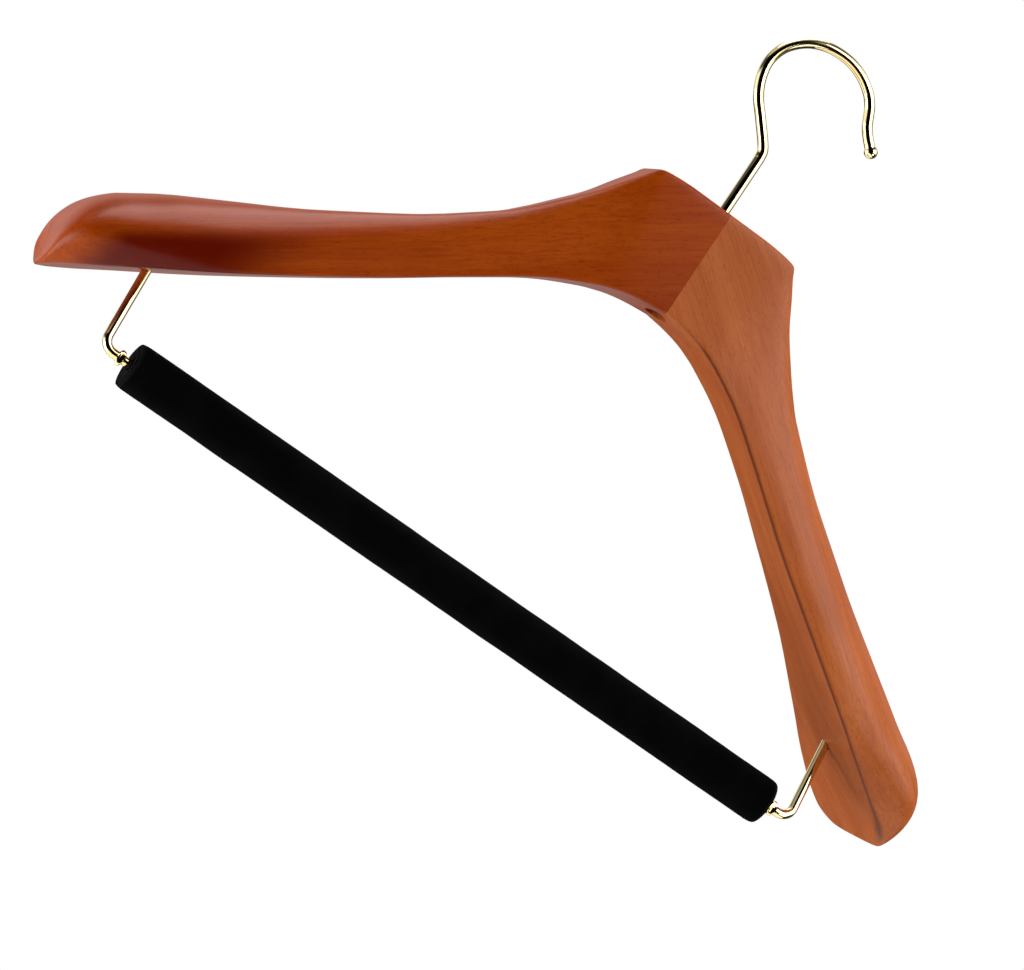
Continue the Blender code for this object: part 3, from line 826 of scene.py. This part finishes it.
def stained_beech(name, light, mid, dark, fleck, lean, low_shade_strength, ridge_shade_share):
    """Steamed beech, stained red brown and lacquered semi-gloss.

    The eye sees a warm even brown, long faint growth bands, short dark ray flecks 1 to 3 mm
    long that lie with the grain, and a soft sheen from the lacquer on every rounded edge.
    The last two arguments are the strengths of the painted shade low on the front and of the
    painted shade line along the front ridge.
    """
    made, tree, shader = new_material(name)
    where = add(tree, "ShaderNodeTexCoord").outputs["Object"]
    grain = add(
        tree, "ShaderNodeMapping", {"vector_type": "TEXTURE"}, Vector=where,
        Rotation=(0.0, lean, 0.0),
    ).outputs[0]
    bands = grain_noise(tree, grain, 180 * MM, 9 * MM, 3.0, 0.55)
    streaks = grain_noise(tree, grain, 40 * MM, 1.1 * MM, 3.0, 0.6)
    flecks = grain_noise(tree, grain, 2.6 * MM, 0.42 * MM, 1.0, 0.4)
    pores = grain_noise(tree, grain, 7 * MM, 0.25 * MM, 2.0, 0.6)
    blotches = grain_noise(tree, grain, 60 * MM, 28 * MM, 2.0, 0.5)
    tone = blend_colour(tree, spread(tree, bands, 0.32, 0.68), linear(mid), linear(light))
    tone = blend_colour(tree, spread(tree, streaks, 0.40, 0.75, 0.0, 0.45), tone, linear(dark))
    tone = blend_colour(tree, spread(tree, blotches, 0.45, 0.75, 0.0, 0.35), tone, linear(dark))
    tone = blend_colour(tree, spread(tree, pores, 0.55, 0.75, 0.0, 0.22), tone, linear(dark))
    tone = blend_colour(tree, spread(tree, flecks, 0.60, 0.74, 0.0, 0.40), tone, linear(fleck))
    apart = add(tree, "ShaderNodeSeparateXYZ", None, Vector=where)
    along = add(tree, "ShaderNodeMath", {"operation": "ABSOLUTE"}, _0=apart.outputs[0]).outputs[0]
    edge_fall = add(
        tree, "ShaderNodeMath", {"operation": "MULTIPLY_ADD"}, _0=along, _1=EDGE_FALL,
        _2=apart.outputs[2],
    ).outputs[0]
    # Painted shade: a dark red patch low on the front toward the tip
    top = [EDGE_LEVEL + height for height in LOW_SHADE_TOP]
    foot = [EDGE_LEVEL + height for height in LOW_SHADE_FOOT]
    low_shade = spread(tree, along, *LOW_SHADE_GROWS)
    for fade in (
        spread(tree, along, *LOW_SHADE_FADES, 1.0, 0.0),
        spread(tree, edge_fall, *top, low_shade_strength, 0.0),
        spread(tree, edge_fall, *foot),
    ):
        low_shade = add(
            tree, "ShaderNodeMath", {"operation": "MULTIPLY"}, _0=low_shade, _1=fade
        ).outputs[0]
    tone = blend_colour(tree, low_shade, tone, linear(LOW_FRONT_SHADE))
    # Painted shade: a dark line along the front ridge's rounding
    edge = add(tree, "ShaderNodeAttribute", {"attribute_name": "ridge_shade"}).outputs["Fac"]
    edge = spread(tree, edge, 0.0, 1.0, 0.0, ridge_shade_share)
    tone = blend_colour(tree, edge, tone, linear(RIDGE_SHADE))
    tree.links.new(tone, shader.inputs["Base Color"])
    rough = spread(tree, streaks, 0.3, 0.8, 0.42, 0.52)
    tree.links.new(rough, shader.inputs["Roughness"])
    bump = add(tree, "ShaderNodeBump", None, Strength=0.5, Distance=0.03 * MM, Height=pores)
    tree.links.new(bump.outputs[0], shader.inputs["Normal"])
    shader.inputs["Specular IOR Level"].default_value = 0.0
    shader.inputs["Coat Weight"].default_value = 0.45
    shader.inputs["Coat IOR"].default_value = 1.4
    shader.inputs["Coat Roughness"].default_value = 0.28
    return made


def polished_brass():
    """Drawn brass wire, polished and lacquered: a pale gold mirror with a few faint scratches."""
    made, tree, shader = new_material("polished_brass_wire")
    where = add(tree, "ShaderNodeTexCoord").outputs["Object"]
    tarnish = add(
        tree, "ShaderNodeTexNoise", None, Vector=where, Scale=1 / (9 * MM), Detail=3.0,
        Roughness=0.5,
    ).outputs[0]
    scratches = add(
        tree, "ShaderNodeTexNoise", None, Vector=where, Scale=1 / (0.6 * MM), Detail=2.0,
        Roughness=0.6,
    ).outputs[0]
    tone = blend_colour(
        tree, spread(tree, tarnish, 0.35, 0.7), linear("#F0E0AC"), linear("#E6D092")
    )
    # The peened foot, down in the counterbore, is painted dark brown: painted shade of the bore
    peened = add(tree, "ShaderNodeAttribute", {"attribute_name": "peened"}).outputs["Fac"]
    tone = blend_colour(tree, peened, tone, linear("#2A2012"))
    tree.links.new(tone, shader.inputs["Base Color"])
    polished = spread(tree, scratches, 0.4, 0.8, 0.05, 0.09)
    tree.links.new(spread(tree, peened, 0.0, 1.0, polished, 0.7), shader.inputs["Roughness"])
    shader.inputs["Metallic"].default_value = 1.0
    return made


def zinc_steel():
    """Zinc-plated steel washer and collar: grey metal with a fine mottled crystal bloom."""
    made, tree, shader = new_material("zinc_plated_steel")
    where = add(tree, "ShaderNodeTexCoord").outputs["Object"]
    bloom = add(
        tree, "ShaderNodeTexVoronoi", None, Vector=where, Scale=1 / (0.8 * MM)
    ).outputs[0]
    tone = blend_colour(tree, spread(tree, bloom, 0.1, 0.8), linear("#B4B6B8"), linear("#8E9092"))
    tree.links.new(tone, shader.inputs["Base Color"])
    tree.links.new(spread(tree, bloom, 0.0, 0.9, 0.28, 0.45), shader.inputs["Roughness"])
    shader.inputs["Metallic"].default_value = 1.0
    return made


def raw_beech():
    """Turned beech dowel, left bare: pale pinkish tan with fine flecks along it."""
    made, tree, shader = new_material("bare_beech_dowel")
    where = add(tree, "ShaderNodeTexCoord").outputs["Object"]
    streaks = grain_noise(tree, where, 25 * MM, 0.8 * MM, 3.0, 0.6)
    flecks = grain_noise(tree, where, 2.0 * MM, 0.3 * MM, 1.0, 0.4)
    tone = blend_colour(
        tree, spread(tree, streaks, 0.35, 0.7), linear("#D2AC84"), linear("#BE9068")
    )
    tone = blend_colour(tree, spread(tree, flecks, 0.62, 0.72, 0.0, 0.5), tone, linear("#8A5A3A"))
    tree.links.new(tone, shader.inputs["Base Color"])
    shader.inputs["Roughness"].default_value = 0.7
    return made


def black_foam():
    """Closed-cell rubber foam, black and matt, with fine cells that show where it is cut."""
    made, tree, shader = new_material("black_rubber_foam")
    where = add(tree, "ShaderNodeTexCoord").outputs["Object"]
    cells = add(
        tree, "ShaderNodeTexVoronoi", None, Vector=where, Scale=1 / (0.45 * MM)
    ).outputs[0]
    clouds = add(
        tree, "ShaderNodeTexNoise", None, Vector=where, Scale=1 / (14 * MM), Detail=3.0
    ).outputs[0]
    tone = blend_colour(tree, spread(tree, clouds, 0.35, 0.7), linear("#020202"), linear("#050505"))
    cut = add(tree, "ShaderNodeAttribute", {"attribute_name": "cut"}).outputs["Fac"]
    tone = blend_colour(tree, cut, tone, linear("#101012"))
    tree.links.new(tone, shader.inputs["Base Color"])
    bump = add(tree, "ShaderNodeBump", None, Strength=0.6, Distance=0.08 * MM, Height=cells)
    tree.links.new(bump.outputs[0], shader.inputs["Normal"])
    shader.inputs["Roughness"].default_value = 0.95
    shader.inputs["Specular IOR Level"].default_value = 0.03
    return made


def set_camera():
    data = bpy.data.cameras.new("camera")
    data.lens = CAMERA_LENS
    data.sensor_width = 36.0
    data.clip_end = 100.0
    camera = bpy.data.objects.new("camera", data)
    bpy.context.scene.collection.objects.link(camera)
    right = Vector(CAMERA_RIGHT)
    up = Vector(CAMERA_UP)
    back = right.cross(up)
    turn = Matrix((right, up, back)).transposed()
    camera.matrix_world = Matrix.Translation(CAMERA_PLACE) @ turn.to_4x4()
    bpy.context.scene.camera = camera


def set_world():
    """The studio round the hanger, turned with the camera.

    Black round the camera, two large white boxes at its sides, a pale ceiling, a dark floor
    and a pale panel behind the hanger. To the camera itself the surround is plain white.
    """
    world = bpy.data.worlds.new("studio_surround")
    bpy.context.scene.world = world
    world.use_nodes = True
    tree = world.node_tree
    tree.nodes.clear()
    way = add(tree, "ShaderNodeTexCoord").outputs["Generated"]
    right = Vector(CAMERA_RIGHT)
    up = Vector(CAMERA_UP)

    def along(axis):
        """How far the looked-up direction points along an axis."""
        return add(
            tree, "ShaderNodeVectorMath", {"operation": "DOT_PRODUCT"}, _0=way, _1=axis
        ).outputs[1]

    def maths(operation, *values):
        inputs = {f"_{index}": value for index, value in enumerate(values)}
        return add(tree, "ShaderNodeMath", {"operation": operation}, **inputs).outputs[0]

    def fade(value, limits, first=0.0, last=1.0):
        """Goes from first to last between two angles in degrees."""
        return spread(tree, value, *(math.radians(limit) for limit in limits), first, last)

    to_camera = along(right.cross(up))
    turn = maths("ABSOLUTE", maths("ARCTAN2", along(right), to_camera))
    rise = maths("ARCSINE", along(up))
    level = fade(maths("ABSOLUTE", rise), BOX_RISE, 1.0, 0.0)
    beside = fade(turn, BOX_NEAR_TURN)
    behind = fade(turn, BOX_FAR_TURN, 1.0, 0.0)
    boxes = maths("MULTIPLY", level, maths("MULTIPLY", beside, behind))
    high = maths(
        "MULTIPLY", fade(rise, PANEL_LOW_RISE), fade(rise, PANEL_HIGH_RISE, 1.0, 0.0)
    )
    wide = maths("MULTIPLY", high, fade(turn, PANEL_WIDE_TURN))
    straight = maths("MULTIPLY", level, fade(turn, PANEL_STRAIGHT_TURN))
    panel = maths("MAXIMUM", wide, straight)
    ceiling = fade(rise, CEILING_RISE)
    ground = fade(rise, GROUND_RISE, 1.0, 0.0)
    near = fade(turn, CAMERA_SIDE_TURN, 1.0, 0.0)
    tone = blend_colour(tree, near, linear(SURROUND_GREY), linear(CAMERA_SIDE_GREY))
    tone = blend_colour(tree, ceiling, tone, linear(CEILING_GREY))
    tone = blend_colour(tree, ground, tone, linear(GROUND_GREY))
    tone = blend_colour(tree, panel, tone, linear(PANEL_GREY))
    tone = blend_colour(tree, boxes, tone, (BOX_LEVEL, BOX_LEVEL, BOX_LEVEL, 1.0))
    rays = add(tree, "ShaderNodeLightPath")
    lit = add(tree, "ShaderNodeBackground", None, Color=tone, Strength=STUDIO_LIGHT)
    shine = add(tree, "ShaderNodeBackground", None, Color=tone, Strength=STUDIO_SHINE)
    plain = add(tree, "ShaderNodeBackground", None, Color=linear("#FFFFFF"), Strength=1.0)
    glossy = add(
        tree, "ShaderNodeMixShader", None, _0=rays.outputs["Is Glossy Ray"],
        _1=lit.outputs[0], _2=shine.outputs[0],
    )
    seen = add(
        tree, "ShaderNodeMixShader", None, _0=rays.outputs["Is Camera Ray"],
        _1=glossy.outputs[0], _2=plain.outputs[0],
    )
    end = add(tree, "ShaderNodeOutputWorld")
    tree.links.new(seen.outputs[0], end.inputs["Surface"])


def add_lamp(name, place, aim, size, power):
    data = bpy.data.lights.new(name, "AREA")
    data.shape = "RECTANGLE"
    data.size, data.size_y = size
    data.energy = power
    lamp = bpy.data.objects.new(name, data)
    bpy.context.scene.collection.objects.link(lamp)
    lamp.location = place
    way = Vector(aim) - Vector(place)
    lamp.rotation_mode = "QUATERNION"
    lamp.rotation_quaternion = way.to_track_quat("-Z", "Y")
    return lamp


def lay_floor():
    """A pale floor well below the hanger, near white to the eye and in the gloss."""
    bpy.ops.object.select_all(action="DESELECT")
    bpy.ops.mesh.primitive_circle_add(
        vertices=FLOOR_SIDES, radius=FLOOR_RADIUS, fill_type="NGON",
        location=(0.0, 0.0, FLOOR_LEVEL),
    )
    floor = settle(named("floor"))
    made, tree, shader = new_material("studio_floor")
    shader.inputs["Base Color"].default_value = linear(FLOOR_GREY)
    shader.inputs["Roughness"].default_value = 0.9
    shader.inputs["Specular IOR Level"].default_value = 0.0
    rays = add(tree, "ShaderNodeLightPath")
    glow = add(tree, "ShaderNodeEmission", None, Color=linear("#FFFFFF"), Strength=FLOOR_GLOW)
    both = add(tree, "ShaderNodeAddShader", None, _0=shader.outputs[0], _1=glow.outputs[0])
    looked_at = rays.outputs["Is Camera Ray"]
    for kind in ("Is Glossy Ray", "Is Transmission Ray"):
        looked_at = add(
            tree, "ShaderNodeMath", {"operation": "MAXIMUM"}, _0=looked_at, _1=rays.outputs[kind]
        ).outputs[0]
    seen = add(
        tree, "ShaderNodeMixShader", None, _0=looked_at, _1=shader.outputs[0],
        _2=both.outputs[0],
    )
    end = [node for node in tree.nodes if node.type == "OUTPUT_MATERIAL"][0]
    tree.links.new(seen.outputs[0], end.inputs["Surface"])
    give(floor, made)


set_camera()
set_world()
lay_floor()
for lamp in LAMPS:
    add_lamp(*lamp)
bpy.context.scene.view_settings.view_transform = "Standard"

# Two copies of one stained beech for the two halves. The left one's darker colours are partly its
# own deeper stain and partly painted shade for how its grain turns the light. The left one also
# carries the painted shade low on its front, the right one the painted shade line on its front
# ridge.
wood_left = stained_beech(
    "stained_beech_left", "#A8480C", "#9A3A04", "#7C2400", "#5E1400", math.radians(-35),
    0.95, 0.0,
)
wood_right = stained_beech(
    "stained_beech_right", "#BC6634", "#B05A2A", "#94441C", "#703010", math.radians(35),
    0.0, 0.85,
)
brass = polished_brass()
steel = zinc_steel()
bare_wood = raw_beech()
foam = black_foam()

left_arm = carve_arm("carved_left_arm", -1, "left_arm")
right_arm = carve_arm("carved_right_arm", 1, "right_arm")
give(left_arm, wood_left)
give(right_arm, wood_right)
give(bend_hook(), brass)
give(bend_bar_wire("left_brass_wire", -1, "left_bar_wire"), brass)
give(bend_bar_wire("right_brass_wire", 1, "right_bar_wire"), brass)
give(foam_sleeve(), foam)
for node in ("hook_washer", "hook_collar"):
    give(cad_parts[node], steel)
for node in ("upper_dowel", "lower_dowel", "bar_core"):
    give(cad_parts[node], bare_wood)
